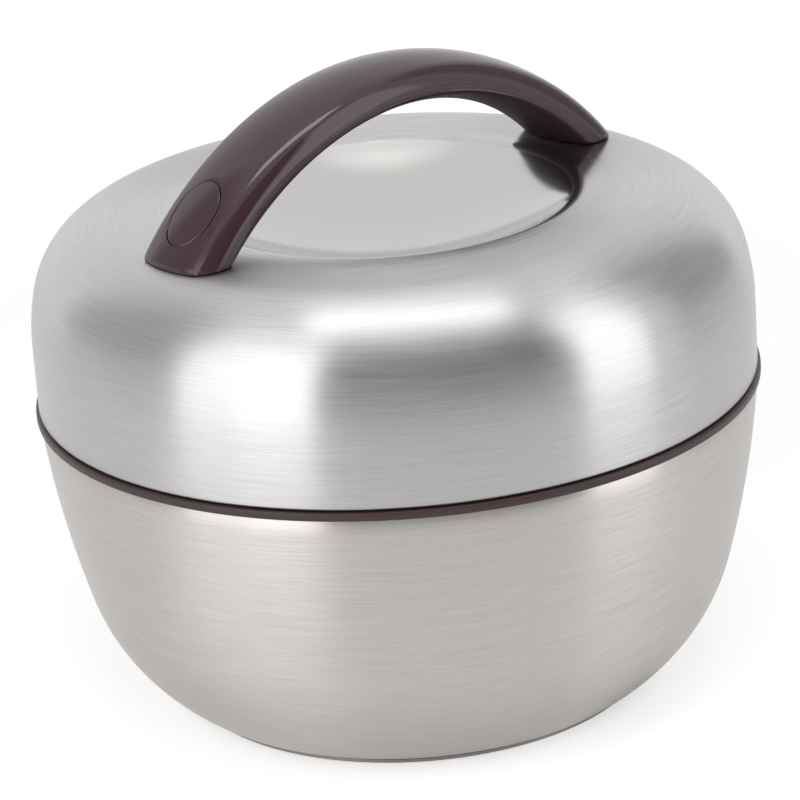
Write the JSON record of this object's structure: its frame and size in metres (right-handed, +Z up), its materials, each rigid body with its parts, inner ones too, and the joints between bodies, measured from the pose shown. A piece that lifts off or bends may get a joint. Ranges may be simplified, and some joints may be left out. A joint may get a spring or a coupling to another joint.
{
  "type": "insulated lunch box",
  "caption": "Round apple-shaped insulated lunch box: steel bowl, lift-off domed lid with a quarter-turn lock, food tray inside and an arched carrying handle over a polished dish.",
  "frame": {"origin": "middle of the foot ring, on the surface that the box stands on", "axes": "+Z up through the middle of the lid, +X along the arched handle towards its rear foot"},
  "size_m": [0.1912, 0.1912, 0.1695],
  "materials": {
    "brushed_steel": "satin",
    "liner_steel": "satin",
    "fixing_steel": "satin",
    "brown_plastic": "satin",
    "handle_plastic": "gloss",
    "pad_rubber": "matte",
    "silicone": "matte",
    "foam": "matte"
  },
  "bodies": {
    "base": {"outer_shell": "brushed_steel", "base_cap": "brushed_steel", "body_insulation": "foam", "inner_liner": "liner_steel", "collar": "brown_plastic"},
    "tray": {"food_tray": "liner_steel"},
    "lid_seal": {"lid_gasket": "silicone"},
    "lid": {"lid_shell": "brushed_steel", "lid_ring": "brown_plastic", "lid_inner_panel": "liner_steel", "lid_insulation": "foam", "handle_upper": "handle_plastic", "handle_lower": "handle_plastic", "foot_pad_front": "pad_rubber", "foot_pad_rear": "pad_rubber", "screw_cover_front": "handle_plastic", "screw_cover_rear": "handle_plastic", "handle_screws": "fixing_steel", "handle_washers": "fixing_steel", "handle_nut_plates": "fixing_steel"}
  },
  "joints": [
    {"name": "tray_lift", "type": "slide", "parent": "base", "child": "tray", "axis": [0, 0, 1], "range_m": [0, 0.08]},
    {"name": "lid_lift", "type": "slide", "parent": "tray", "child": "lid_seal", "axis": [0, 0, 1], "range_m": [0, 0.1]},
    {"name": "lid_turn", "type": "hinge", "parent": "lid_seal", "child": "lid", "pos_m": [0, 0, 0.09], "axis": [0, 0, 1], "range_deg": [0, 40]}
  ]
}
